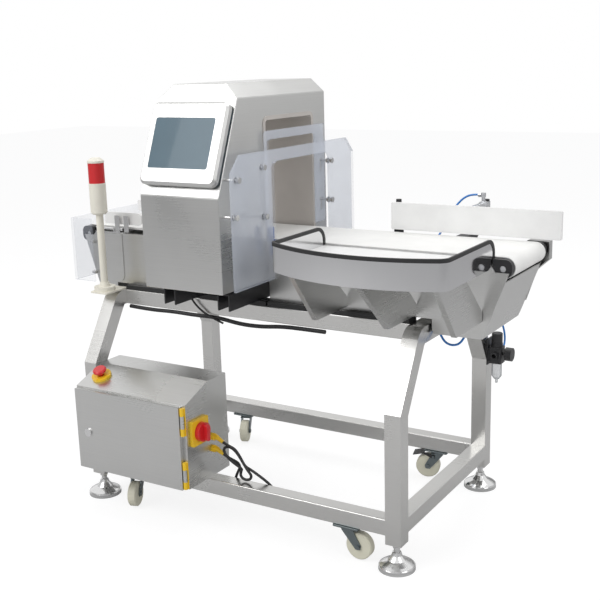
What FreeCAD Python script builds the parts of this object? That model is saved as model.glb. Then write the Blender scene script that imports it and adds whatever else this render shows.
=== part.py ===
import FreeCAD, Part
import math
import os
from FreeCAD import Vector as V

# Conveyor metal detector: a belt conveyor on a welded stand, a detector head round the belt,
# a swing-arm reject with a curved reject tray, a control cabinet and a signal tower.
# Frame while modelling: x along the belt (infeed -x), y across it (operator -y), z up,
# zero at the middle of the stand on the floor.  All sizes in millimetres.

# ---------------------------------------------------------------- driving dimensions
TUBE = 45.0                 # square tube of the stand
HALF = TUBE / 2
LEG_X, LEG_Y = 504.0, 293.0             # leg centres
LEG_FOOT_Z, KNEE_Z, STAND_TOP = 72.0, 429.0, 626.0
LEG_LEAN = 0.608            # inward run of the upper leg per unit of rise
STRETCHER_TOP = 141.0
RAIL_FACE_Y = 161.0         # outer face of the two upper rails

BELT_TOP, BELT_T, BELT_HALF = 812.0, 2.0, 115.0
ROLLER_R = 25.0
TAIL_X, DRIVE_X = -641.0, 718.0         # roller axes
ROLLER_Z = BELT_TOP - BELT_T - ROLLER_R

SHEET = 2.5                 # conveyor sheet metal
BODY_Y = 137.0              # outer face of the conveyor side plates
BODY_TOP, BODY_BOTTOM, SUMP_Z = 795.0, 639.0, 600.0

HEAD_X0, HEAD_X1 = -233.0, 28.0
HEAD_Y0, HEAD_Y1 = -354.0, 205.0
HEAD_Z0, HEAD_BEND_Z, HEAD_SIDE_Z, HEAD_ROOF_Z = 698.0, 954.0, 1205.0, 1243.0
HEAD_LEAN = 104.0 / 253.0   # backward run of the upper front per unit of rise
HEAD_CHAMFER = 44.0
TUNNEL_Y, TUNNEL_Z0, TUNNEL_Z1 = 123.0, 744.0, 1140.0

TRAY_X0, TRAY_X1 = 205.0, 690.0
TRAY_Z0, TRAY_Z1, TRAY_T = 784.0, 858.0, 2.0
TRAY_LEFT_Y, TRAY_RIGHT_Y, TRAY_DEEP_Y, TRAY_BACK_Y = -380.0, -412.0, -460.0, -119.0

CAB_X0, CAB_X1 = -481.0, -82.0
CAB_Y0, CAB_Y1 = -402.0, -209.0
CAB_Z0, CAB_FRONT_Z, CAB_TOP_Z = STRETCHER_TOP, 388.0, 428.0
CAB_SHEET = 2.0

CASTER_X, WHEEL_R, WHEEL_W, WHEEL_TRAIL, WHEEL_CLEAR = 365.0, 37.5, 25.0, 32.0, 3.0
PAD_R, PAD_T = 49.0, 11.0

GAP = 0.3                   # air between pieces of different bodies
RUN = 0.05                  # running fit of pins and shafts, on the radius

nodes = {}


# ---------------------------------------------------------------- helpers
def box(x0, x1, y0, y1, z0, z1):
    return Part.makeBox(x1 - x0, y1 - y0, z1 - z0, V(x0, y0, z0))


def prism(points, start, end, plane):
    """A straight prism over a closed outline given in the plane 'xy', 'xz' or 'yz'."""
    place = {"xy": lambda a, b: V(a, b, start), "xz": lambda a, b: V(a, start, b),
             "yz": lambda a, b: V(start, a, b)}[plane]
    along = {"xy": V(0, 0, 1), "xz": V(0, 1, 0), "yz": V(1, 0, 0)}[plane]
    corners = [place(a, b) for a, b in points]
    face = Part.Face(Part.makePolygon(corners + corners[:1]))
    return face.extrude(along * (end - start))


def rod(start, end, radius, inner=0.0):
    start, end = V(*start), V(*end)
    along = end - start
    shape = Part.makeCylinder(radius, along.Length, start, along)
    if inner:
        shape = shape.cut(Part.makeCylinder(inner, along.Length, start, along))
    return shape


def cone(start, end, radius_start, radius_end):
    start, end = V(*start), V(*end)
    along = end - start
    return Part.makeCone(radius_start, radius_end, along.Length, start, along)


def fillet(shape, radius, direction, pick=lambda middle: True):
    """Round the straight edges that run along one axis and whose middle point is picked."""
    axis = {"x": V(1, 0, 0), "y": V(0, 1, 0), "z": V(0, 0, 1)}[direction]
    edges = []
    for edge in shape.Edges:
        if not isinstance(edge.Curve, Part.Line):
            continue
        run = edge.Vertexes[-1].Point - edge.Vertexes[0].Point
        if run.Length > 1e-6 and abs(abs(run.normalize().dot(axis)) - 1) < 1e-6:
            if pick(edge.CenterOfMass):
                edges.append(edge)
    return shape.makeFillet(radius, edges)


def offset_strip(points, thickness):
    """Closed outline of a folded strip: an open line of points, thickened to its left side."""
    normals = []
    for (a0, b0), (a1, b1) in zip(points, points[1:]):
        length = math.hypot(a1 - a0, b1 - b0)
        normals.append((-(b1 - b0) / length, (a1 - a0) / length))
    shifted = []
    for index, (a, b) in enumerate(points):
        before = normals[max(index - 1, 0)]
        after = normals[min(index, len(normals) - 1)]
        scale = thickness / (1 + before[0] * after[0] + before[1] * after[1])
        shifted.append((a + (before[0] + after[0]) * scale, b + (before[1] + after[1]) * scale))
    return points + shifted[::-1]


def folded(points, thickness, start, end, plane):
    return prism(offset_strip(points, thickness), start, end, plane)


def leaves(points, thickness, start, end, plane):
    """The flat leaves of a folded sheet, mitred where they meet."""
    strip = offset_strip(points, thickness)
    count = len(points)
    inner = strip[:count - 1:-1]
    return [prism([points[i], points[i + 1], inner[i + 1], inner[i]], start, end, plane)
            for i in range(count - 1)]


def ring_wire(centre, along, radius, sides=12):
    """A regular polygon of the same area as the circle, square to a direction."""
    corner = radius * math.sqrt(2 * math.pi / (sides * math.sin(2 * math.pi / sides)))
    turn = FreeCAD.Rotation(V(0, 0, 1), along)
    corners = [centre + turn.multVec(V(corner * math.cos(2 * math.pi * k / sides),
                                       corner * math.sin(2 * math.pi * k / sides), 0))
               for k in range(sides)]
    return Part.makePolygon(corners + corners[:1])


def hexagon(start, end, across):
    """A hexagonal prism, for nuts and bolt heads; across is the distance over its flats."""
    start, end = V(*start), V(*end)
    wire = ring_wire(start, end - start, across / 2 * 1.05, 6)
    return Part.Face(wire).extrude(end - start)


def mirror_y(shape):
    return shape.mirror(V(0, 0, 0), V(0, 1, 0))


def turned(shape, degrees, at, axis=(0, 0, 1)):
    shape = shape.copy()
    shape.rotate(V(*at), V(*axis), degrees)
    return shape


def compound(pieces):
    return Part.makeCompound(pieces)


def both_sides(pieces):
    return pieces + [mirror_y(piece) for piece in pieces]


def cord(points, radius, tightest=0.0):
    """A round cord: straight runs joined by tangent arcs as large as the runs allow."""
    corners = [V(*point) for point in points]
    starts, ends, arcs = [corners[0]], [], []
    for before, here, after in zip(corners, corners[1:], corners[2:]):
        back, ahead = before - here, after - here
        run = 0.45 * min(back.Length, ahead.Length)
        back.normalize()
        ahead.normalize()
        half_turn = (math.pi - back.getAngle(ahead)) / 2
        bend = run / math.tan(half_turn)
        tightest = min(tightest, bend) if tightest else bend
        middle_line = (back + ahead).normalize()
        middle = here + middle_line * (math.hypot(run, bend) - bend)
        ends.append(here + back * run)
        starts.append(here + ahead * run)
        arcs.append(Part.Arc(here + back * run, middle, here + ahead * run))
    ends.append(corners[-1])
    edges = []
    for index, (first, last) in enumerate(zip(starts, ends)):
        edges.append(Part.LineSegment(first, last).toShape())
        if index < len(arcs):
            edges.append(arcs[index].toShape())
    path = Part.Wire(edges)
    ring = ring_wire(corners[0], corners[1] - corners[0], radius)
    pipe = path.makePipeShell([ring], True, True)
    print("cord radius %.1f length %.0f smallest bend %.0f volume ratio %.4f"
          % (radius, path.Length, tightest or 0, pipe.Volume / (math.pi * radius ** 2 * path.Length)))
    return pipe


# ---------------------------------------------------------------- stand
def leg_frame(x):
    """One bent inverted U of square tube: upright legs, leaning upper legs and a rounded top."""
    lean = math.atan(LEG_LEAN)
    outer_y, inner_y = LEG_Y + HALF, LEG_Y - HALF
    knee_drop = TUBE * math.tan(lean / 2)
    top_y = outer_y - (STAND_TOP - KNEE_Z) * LEG_LEAN
    top_turn = math.tan((math.pi / 2 - lean) / 2)
    inner_top_y = top_y - TUBE * top_turn
    half = [(outer_y, LEG_FOOT_Z), (outer_y, KNEE_Z), (top_y, STAND_TOP)]
    inside = [(inner_top_y, STAND_TOP - TUBE), (inner_y, KNEE_Z - knee_drop), (inner_y, LEG_FOOT_Z)]
    outline = half + [(-y, z) for y, z in half[::-1]]
    outline += [(-y, z) for y, z in inside[::-1]] + inside
    tube = prism(outline, x - HALF, x + HALF, "yz")
    bend_outer, bend_inner = 52.0, 8.0
    tube = fillet(tube, bend_outer, "x", lambda p: p.z > STAND_TOP - 1)
    tube = fillet(tube, bend_inner, "x", lambda p: abs(p.z - (STAND_TOP - TUBE)) < 1)
    # cut at the mitres, so that each straight run of tube is a body of its own
    far = 600.0
    slope = math.tan(lean / 2)
    below_knee = [(inner_y - 60, KNEE_Z - knee_drop - 60 * slope), (outer_y + 60, KNEE_Z + 60 * slope),
                  (outer_y + 60, 0), (inner_y - 60, 0)]
    top_line = [(inner_top_y - 60 * top_turn, STAND_TOP - TUBE - 60), (top_y + 60 * top_turn, STAND_TOP + 60)]
    inner_slab = [(-y, z) for y, z in top_line] + top_line[::-1]
    pieces = []
    for side in (1, -1):
        knee = prism([(side * y, z) for y, z in below_knee], x - far, x + far, "yz")
        pieces.append(tube.common(knee))
    top = prism(inner_slab, x - far, x + far, "yz")
    crossbar = tube.common(top)
    rest = tube.cut(top)
    for upright in pieces:
        rest = rest.cut(upright)
    return pieces + rest.Solids + [crossbar]


def make_stand():
    legs = leg_frame(-LEG_X) + leg_frame(LEG_X)
    inside_x = LEG_X - HALF
    upper = [box(-inside_x, inside_x, RAIL_FACE_Y - TUBE, RAIL_FACE_Y, STAND_TOP - TUBE, STAND_TOP)]
    lower = [box(-inside_x, inside_x, LEG_Y - HALF, LEG_Y + HALF, STRETCHER_TOP - TUBE, STRETCHER_TOP)]
    rails = [fillet(rail, 3.0, "x") for rail in both_sides(upper + lower)]
    across_y = LEG_Y - HALF
    for x in (-LEG_X, LEG_X):
        side = box(x - HALF, x + HALF, -across_y, across_y, STRETCHER_TOP - TUBE, STRETCHER_TOP)
        rails.append(fillet(side, 3.0, "y"))
    tie_y = RAIL_FACE_Y - TUBE
    ties = [box(x - 20, x + 20, -tie_y, tie_y, STAND_TOP - TUBE, STAND_TOP) for x in (-300.0, 90.0)]
    nodes["stand_frame"] = compound(legs + rails + ties)


def foot_bell(x, y):
    """Levelling foot: threaded stem, lock nut and a turned bell."""
    profile = [(0, PAD_T), (PAD_R - 3, PAD_T), (PAD_R - 3, PAD_T + 3), (PAD_R - 9, PAD_T + 7),
               (24, PAD_T + 15), (14, PAD_T + 27), (12, PAD_T + 36), (8, PAD_T + 38), (8, LEG_FOOT_Z),
               (0, LEG_FOOT_Z)]
    face = Part.Face(Part.makePolygon([V(x + r, y, z) for r, z in profile + profile[:1]]))
    bell = face.revolve(V(x, y, 0), V(0, 0, 1), 360)
    nut_half, nut_z = 12.0, LEG_FOOT_Z - 12.0
    corners = [(x + nut_half * math.cos(math.radians(a)), y + nut_half * math.sin(math.radians(a)))
               for a in range(0, 360, 60)]
    return bell.fuse(prism(corners, nut_z, LEG_FOOT_Z, "xy"))


def make_feet():
    bells, pads = [], []
    for x in (-LEG_X, LEG_X):
        for y in (-LEG_Y, LEG_Y):
            bells.append(foot_bell(x, y))
            pads.append(rod((x, y, 0), (x, y, PAD_T), PAD_R))
    nodes["levelling_feet"] = compound(bells + pads)


CASTERS = {1: (-CASTER_X, -LEG_Y, -70.0), 2: (CASTER_X, -LEG_Y, 0.0),
           3: (CASTER_X, LEG_Y, 195.0), 4: (-CASTER_X, LEG_Y, -68.0)}   # x, y, trail direction
SWIVEL_Z = STRETCHER_TOP - TUBE - 4.0


def caster_wheel(x, y):
    axle_z = WHEEL_R + WHEEL_CLEAR
    axle_x = x + WHEEL_TRAIL
    tread = rod((axle_x, y - WHEEL_W / 2, axle_z), (axle_x, y + WHEEL_W / 2, axle_z), WHEEL_R, 5.0 + RUN)
    rims = [edge for edge in tread.Edges
            if isinstance(edge.Curve, Part.Circle) and edge.Curve.Radius > WHEEL_R - 1]
    return tread.makeChamfer(3.0, rims)


def caster_fork(x, y):
    """Pressed fork: crown disc, two tapering cheeks and the axle bolt."""
    axle_x, axle_z = x + WHEEL_TRAIL, WHEEL_R + WHEEL_CLEAR
    crown_z = 2 * WHEEL_R + WHEEL_CLEAR + 4.0
    crown = rod((x, y, crown_z), (x, y, SWIVEL_Z - GAP), 19.0)
    bridge = box(x - 16, x + 20, y - 18, y + 18, crown_z, crown_z + 3)
    pieces = [crown.fuse(bridge)]
    cheek = [(x - 17, crown_z), (x + 19, crown_z), (axle_x + 9, axle_z + 4), (axle_x + 7, axle_z - 7),
             (axle_x - 7, axle_z - 8)]
    for side in (-1, 1):
        inner = WHEEL_W / 2 + 1.5
        near, far = sorted((side * inner, side * (inner + 2.5)))
        plate = prism(cheek, y + near, y + far, "xz")
        pieces.append(plate)
        boss_y = y + side * (inner + 2.5)
        pieces.append(rod((axle_x, boss_y, axle_z), (axle_x, boss_y + side * 3.5, axle_z), 6.5))
    pieces.append(rod((axle_x, y - inner, axle_z), (axle_x, y + inner, axle_z), 5.0))
    return pieces


def brake_pins(x, y):
    """Headed stubs on the outside of the cheeks, on which the brake pedal turns."""
    pins = []
    cheek_y, arm_end = WHEEL_W / 2 + 4.0, WHEEL_W / 2 + 8.0
    for side in (-1, 1):
        stub = rod((x + BRAKE_AT, y + side * cheek_y, BRAKE_Z),
                   (x + BRAKE_AT, y + side * (arm_end + GAP), BRAKE_Z), PIN_R)
        head = rod((x + BRAKE_AT, y + side * (arm_end + GAP), BRAKE_Z),
                   (x + BRAKE_AT, y + side * (arm_end + 2), BRAKE_Z), PIN_R + 1.5)
        pins.append(stub.fuse(head))
    return pins


def make_casters():
    plates = []
    for number, (x, y, heading) in CASTERS.items():
        at = (x, y, 0)
        nodes["caster_wheel_%d" % number] = turned(caster_wheel(x, y), heading, at)
        fork = caster_fork(x, y) + (brake_pins(x, y) if number == BRAKED else [])
        nodes["caster_fork_%d" % number] = compound([turned(piece, heading, at) for piece in fork])
        plate = fillet(box(x - 38, x + 38, y - 29, y + 29, SWIVEL_Z, STRETCHER_TOP - TUBE), 6.0, "z")
        plates.append(plate)
    nodes["caster_plates"] = compound(plates)
    nodes["caster_brake"] = caster_brake(*CASTERS[BRAKED])


BRAKED = 3                              # the caster with the brake
BRAKE_AT, BRAKE_Z, PIN_R = 14.0, 75.0, 2.5      # pedal pivot: along the trail, height, pin


def caster_brake(x, y, heading):
    """Tread brake: two arms on the outside of the fork, a foot plate and a shoe over the tyre."""
    arm_y = WHEEL_W / 2 + 6.0
    pivot_x, plate_z = x + BRAKE_AT, 2 * WHEEL_R + WHEEL_CLEAR + 10
    arm = [(pivot_x - 5, BRAKE_Z - 5), (pivot_x + 5, BRAKE_Z - 5), (pivot_x + 34, plate_z - 3),
           (pivot_x + 34, plate_z), (pivot_x + 26, plate_z), (pivot_x - 5, BRAKE_Z + 4)]
    pieces = [prism(arm, y + side * arm_y, y + side * (arm_y + 2), "xz") for side in (-1, 1)]
    plate = [(pivot_x + 28, plate_z - 3), (pivot_x + 64, plate_z - 11), (pivot_x + 64, plate_z - 8),
             (pivot_x + 28, plate_z)]
    tread = prism(plate, y - arm_y - 2, y + arm_y + 2, "xz")
    shoe = box(pivot_x + 30, pivot_x + 40, y - 9, y + 9, plate_z - 7, plate_z - 2)
    eye = rod((pivot_x, y - arm_y - 3, BRAKE_Z), (pivot_x, y + arm_y + 3, BRAKE_Z), PIN_R + RUN)
    return turned(tread.fuse(pieces + [shoe]).cut(eye), heading, (x, y, 0))


# ---------------------------------------------------------------- conveyor
INFEED_END = [(-655.0, 783.0), (-597.0, SUMP_Z)]        # sloped ends, top to bottom
OUTFEED_END = [(736.0, 776.0), (668.0, SUMP_Z)]
BODY_GAP_IN, BODY_GAP_OUT = HEAD_X0 - 6.0, HEAD_X1 + 6.0    # the bodies stop either side of the head
COVER_TOP = 752.0           # the end covers stop under the belt
SUMP_IN, SUMP_OUT = -(LEG_X + HALF + 5.0), LEG_X + HALF + 5.0
BED_BARS = (-570.0, -420.0, -262.0, 62.0, 230.0, 400.0, 560.0)      # cross bars under the bed


def side_sheets():
    """Side plates: one sheet per side of each body, with folded top and bottom flanges."""
    infeed = [INFEED_END[0], (-618, 783), (-606, BODY_TOP), (BODY_GAP_IN, BODY_TOP), (BODY_GAP_IN, BODY_BOTTOM),
              (SUMP_IN, BODY_BOTTOM), (SUMP_IN, SUMP_Z), INFEED_END[1]]
    outfeed = [OUTFEED_END[0], (700, 776), (688, BODY_TOP), (BODY_GAP_OUT, BODY_TOP), (BODY_GAP_OUT, BODY_BOTTOM),
               (SUMP_OUT, BODY_BOTTOM), (SUMP_OUT, SUMP_Z), OUTFEED_END[1]]
    pieces = []
    for outline in (infeed, outfeed):
        web = prism(outline, -BODY_Y, -BODY_Y + SHEET, "xz")
        web = fillet(web, 15.0, "y", lambda p: abs(p.z - SUMP_Z) < 1)
        x0, x1 = min(outline[5][0], outline[4][0]), max(outline[5][0], outline[4][0])
        lower = box(x0, x1, -BODY_Y + SHEET, -BODY_Y + 26, BODY_BOTTOM, BODY_BOTTOM + SHEET)
        x0, x1 = min(outline[2][0], outline[3][0]), max(outline[2][0], outline[3][0])
        upper = box(x0, x1, -BODY_Y + SHEET, -BODY_Y + 14, BODY_TOP - SHEET, BODY_TOP)
        pieces += [web, lower, upper]
    return both_sides(pieces)


MOTOR_X, MOTOR_Z, MOTOR_SHAFT_R = 612.0, 695.0, 6.0


def make_conveyor_body():
    shaft_hole = rod((MOTOR_X, 0, MOTOR_Z), (MOTOR_X, BODY_Y + 1, MOTOR_Z), MOTOR_SHAFT_R + 2)
    nodes["conveyor_side_plates"] = compound([sheet.cut(shaft_hole) for sheet in side_sheets()])
    inner = BODY_Y - SHEET
    ends = []
    for top_to_bottom, sump in ((INFEED_END, SUMP_IN), (OUTFEED_END, SUMP_OUT)):
        (top_x, top_z), (foot_x, foot_z) = top_to_bottom
        cover_x = top_x + (foot_x - top_x) * (top_z - COVER_TOP) / (top_z - foot_z)
        points = [(cover_x, COVER_TOP), (foot_x, foot_z), (sump, SUMP_Z)]
        thickness = SHEET if sump < 0 else -SHEET
        ends += leaves(points, thickness, -inner, inner, "xz")

    # bolted access covers on the side plates, with one rounded lower corner each
    top = BODY_TOP - 3
    covers = []
    for x0, x1 in ((-590.0, -501.0), (268.0, 560.0)):
        cover = box(x0, x1, -BODY_Y - SHEET, -BODY_Y, BODY_BOTTOM + 4, top)
        corner = x1 if x0 < 0 else x0
        covers.append(fillet(cover, 22.0, "y", lambda p: abs(p.x - corner) < 1 and p.z < BODY_TOP - 50))
    end = [(683, BODY_BOTTOM + 6), (683, 768), (690, 774), (OUTFEED_END[0][0] - 5, 774), (688, BODY_BOTTOM + 6)]
    covers.append(prism(end, -BODY_Y - SHEET, -BODY_Y, "xz"))
    nodes["conveyor_covers"] = compound(ends + both_sides(covers))

    bed_x0, bed_x1 = TAIL_X + 30, DRIVE_X - 30
    bed_top = BELT_TOP - BELT_T - GAP
    bed = box(bed_x0, bed_x1, -BELT_HALF + 3, BELT_HALF - 3, bed_top - 5, bed_top)
    bars = [box(x - 8, x + 8, -inner, inner, BODY_TOP - SHEET - 16, BODY_TOP - SHEET)
            for x in BED_BARS]
    spacers = [box(x - 8, x + 8, -40, 40, BODY_TOP - SHEET, bed_top - 5) for x in BED_BARS]
    nodes["slider_bed"] = compound([bed] + [bar.fuse(pad) for bar, pad in zip(bars, spacers)])

    pads = [box(x0, x1, -RAIL_FACE_Y + 1, -RAIL_FACE_Y + 45, STAND_TOP, BODY_BOTTOM)
            for x0, x1 in ((-478.0, -244.0), (40.0, 478.0))]
    pads.append(box(-238.0, 34.0, -RAIL_FACE_Y + 1, -RAIL_FACE_Y + 45, STAND_TOP, BODY_BOTTOM))
    return both_sides(pads)


def make_belt():
    outer = ROLLER_R + BELT_T

    def loop(radius):
        top, bottom = ROLLER_Z + radius, ROLLER_Z - radius
        edges = [Part.LineSegment(V(TAIL_X, -BELT_HALF, top), V(DRIVE_X, -BELT_HALF, top)).toShape(),
                 Part.Arc(V(DRIVE_X, -BELT_HALF, top), V(DRIVE_X + radius, -BELT_HALF, ROLLER_Z),
                          V(DRIVE_X, -BELT_HALF, bottom)).toShape(),
                 Part.LineSegment(V(DRIVE_X, -BELT_HALF, bottom), V(TAIL_X, -BELT_HALF, bottom)).toShape(),
                 Part.Arc(V(TAIL_X, -BELT_HALF, bottom), V(TAIL_X - radius, -BELT_HALF, ROLLER_Z),
                          V(TAIL_X, -BELT_HALF, top)).toShape()]
        return Part.Face(Part.Wire(edges)).extrude(V(0, 2 * BELT_HALF, 0))

    nodes["belt"] = loop(outer).cut(loop(ROLLER_R))


SHAFT_R = 8.0
BLOCK_Y0, BLOCK_Y1 = 118.0, 134.0
PULLEY_Y0, PULLEY_Y1 = BODY_Y + 5.0, BODY_Y + 17.0
PULLEY_R = 19.0


def roller(x, half_length, rear_end):
    tube = rod((x, -half_length, ROLLER_Z), (x, half_length, ROLLER_Z), ROLLER_R - 0.1)
    shaft = rod((x, -BLOCK_Y1 + 3, ROLLER_Z), (x, rear_end, ROLLER_Z), SHAFT_R)
    return tube.fuse(shaft)


def bearing_block(x):
    """Flanged plastic bearing block beside a roller end, rounded round the roller."""
    ahead = 1 if x > 0 else -1
    x0, x1 = sorted((x - ahead * 26, x + ahead * 24))
    block = box(x0, x1, -BLOCK_Y1, -BLOCK_Y0, ROLLER_Z - 22, BELT_TOP - 3)
    block = fillet(block, 17.0, "y", lambda p: (p.x - x) * ahead > 20)
    return block.cut(rod((x, -BLOCK_Y1 - 1, ROLLER_Z), (x, -BLOCK_Y0 + 1, ROLLER_Z), SHAFT_R + RUN))


def make_rollers():
    drive = roller(DRIVE_X, BELT_HALF - 1, PULLEY_Y1)
    pulley = rod((DRIVE_X, PULLEY_Y0, ROLLER_Z), (DRIVE_X, PULLEY_Y1, ROLLER_Z), PULLEY_R)
    nodes["drive_roller"] = drive.fuse(pulley)
    nodes["tail_roller"] = roller(TAIL_X, BELT_HALF - 1, BLOCK_Y1 - 3)
    blocks = both_sides([bearing_block(DRIVE_X), bearing_block(TAIL_X)])
    nodes["bearing_blocks"] = compound(blocks)
    # tail take-up: a slotted bracket with a screw that pushes the tail block
    slide = box(-606.0, -493.0, -BODY_Y - 4, -BLOCK_Y0, BODY_TOP, BODY_TOP + 3)
    slide = fillet(slide, 9.0, "z", lambda p: p.x > -500)
    screw_z = BODY_TOP + 10
    screw = rod((TAIL_X + 26, -126.0, screw_z), (-505.0, -126.0, screw_z), 4.0)
    head = rod((-511.0, -126.0, screw_z), (-503.0, -126.0, screw_z), 6.5)
    lug = box(-540.0, -534.0, -133.0, -119.0, BODY_TOP + 3, BODY_TOP + 16)
    lug = lug.cut(rod((-541.0, -126.0, screw_z), (-533.0, -126.0, screw_z), 4.0))
    return both_sides([slide, screw.fuse(head), lug])


def make_drive():
    """Gearmotor under the outfeed end and its toothed belt behind the rear side plate."""
    gearbox = fillet(box(MOTOR_X - 38, MOTOR_X + 38, 18, 118, MOTOR_Z - 38, MOTOR_Z + 38), 8.0, "y")
    flange = box(MOTOR_X - 44, MOTOR_X + 44, 118, BODY_Y - SHEET, MOTOR_Z - 44, MOTOR_Z + 44)
    barrel = rod((MOTOR_X, -92, MOTOR_Z), (MOTOR_X, 18, MOTOR_Z), 34.0)
    cowl = rod((MOTOR_X, -122, MOTOR_Z), (MOTOR_X, -92, MOTOR_Z), 37.0)
    bore = rod((MOTOR_X, 30, MOTOR_Z), (MOTOR_X, BODY_Y, MOTOR_Z), MOTOR_SHAFT_R + RUN)
    nodes["drive_motor"] = gearbox.fuse([flange, barrel, cowl]).cut(bore)
    shaft = rod((MOTOR_X, 60, MOTOR_Z), (MOTOR_X, PULLEY_Y1, MOTOR_Z), MOTOR_SHAFT_R)
    pulley = rod((MOTOR_X, PULLEY_Y0, MOTOR_Z), (MOTOR_X, PULLEY_Y1, MOTOR_Z), PULLEY_R)
    nodes["motor_pulley"] = shaft.fuse(pulley)

    # toothed belt: two equal pulleys, so its runs are parallel to the line of centres
    span_x, span_z = DRIVE_X - MOTOR_X, ROLLER_Z - MOTOR_Z
    length = math.hypot(span_x, span_z)
    nx, nz = -span_z / length, span_x / length

    def loop(radius):
        def point(x, z, along, across):
            return V(x + span_x * along / length + nx * across, PULLEY_Y0 + 1,
                     z + span_z * along / length + nz * across)
        motor_up = point(MOTOR_X, MOTOR_Z, 0, radius)
        motor_down = point(MOTOR_X, MOTOR_Z, 0, -radius)
        roller_up = point(DRIVE_X, ROLLER_Z, 0, radius)
        roller_down = point(DRIVE_X, ROLLER_Z, 0, -radius)
        edges = [Part.LineSegment(motor_up, roller_up).toShape(),
                 Part.Arc(roller_up, point(DRIVE_X, ROLLER_Z, radius, 0), roller_down).toShape(),
                 Part.LineSegment(roller_down, motor_down).toShape(),
                 Part.Arc(motor_down, point(MOTOR_X, MOTOR_Z, -radius, 0), motor_up).toShape()]
        return Part.Face(Part.Wire(edges)).extrude(V(0, PULLEY_Y1 - PULLEY_Y0 - 2, 0))

    nodes["drive_belt"] = loop(PULLEY_R + 2.5).cut(loop(PULLEY_R + 0.1))
    # folded guard over the toothed belt
    guard = [(MOTOR_X - 38, MOTOR_Z - 34), (MOTOR_X + 26, MOTOR_Z - 34), (DRIVE_X + 30, ROLLER_Z - 24),
             (DRIVE_X + 30, ROLLER_Z + 25), (DRIVE_X - 30, ROLLER_Z + 25), (MOTOR_X - 38, MOTOR_Z + 32)]
    outer = prism(guard, BODY_Y + SHEET + GAP, BODY_Y + 26, "xz")
    inner = [(MOTOR_X - 36, MOTOR_Z - 32), (MOTOR_X + 25, MOTOR_Z - 32), (DRIVE_X + 28, ROLLER_Z - 23),
             (DRIVE_X + 28, ROLLER_Z + 23), (DRIVE_X - 29, ROLLER_Z + 23), (MOTOR_X - 36, MOTOR_Z + 31)]
    nodes["drive_guard"] = outer.cut(prism(inner, BODY_Y, BODY_Y + 24, "xz"))


def make_infeed_fittings():
    """Product guides and the clear end guard; gives back the brackets that hold them."""
    # product guides with one rounded end, held on brackets beside the belt
    guide = box(-577.0, -432.0, -124.0, -118.0, 820.0, 857.0)
    guide = fillet(guide, 14.0, "y", lambda p: p.x > -440)
    rear = box(-650.0, -250.0, 118.0, 124.0, 820.0, 857.0)
    nodes["infeed_guides"] = compound([guide, rear])
    feet = []
    for x in (-522.0, -486.0):
        feet.append(folded([(-130.0, BODY_TOP + 3), (-130.0, 848.0)], 3.0, x - 9, x + 9, "yz"))
        feet.append(rod((x, -127.0, 836.0), (x, -124.0, 836.0), 6.0))
    for x in (-460.0, -300.0):
        feet.append(box(x - 9, x + 9, 124.0, 127.0, BODY_TOP, 848.0))
    # clear guard folded round the infeed end
    reach, end_x, bottom, top, clear = 165.0, -684.0, 640.0, 838.0, 5.0
    path = [(-600.0, reach), (end_x, reach), (end_x, -reach), (-600.0, -reach)]
    nodes["infeed_guard"] = folded(path, clear, bottom, top, "xy")
    arms = [box(-614.0, -602.0, -reach + clear, -BODY_Y, z, z + 8) for z in (664.0, 760.0)]
    return feet + both_sides(arms)


# ---------------------------------------------------------------- detector head
LINER_T = 4.0
COIL_X = (-160.0, -102.5, -45.0)        # receiver, transmitter, receiver
LEAN_ANGLE = math.degrees(math.atan(HEAD_LEAN))


def tunnel(grow, x0, x1):
    block = box(x0, x1, -TUNNEL_Y - grow, TUNNEL_Y + grow, TUNNEL_Z0 - grow, TUNNEL_Z1 + grow)
    return fillet(block, 10.0 + grow, "x")


def on_lean(shape):
    """Carry a shape from the plane y = 0 to the leaning front, with z measured up the slope."""
    shape = turned(shape, -LEAN_ANGLE, (0, 0, 0), (1, 0, 0))
    shape.translate(V(0, HEAD_Y0, HEAD_BEND_Z))
    return shape


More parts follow.
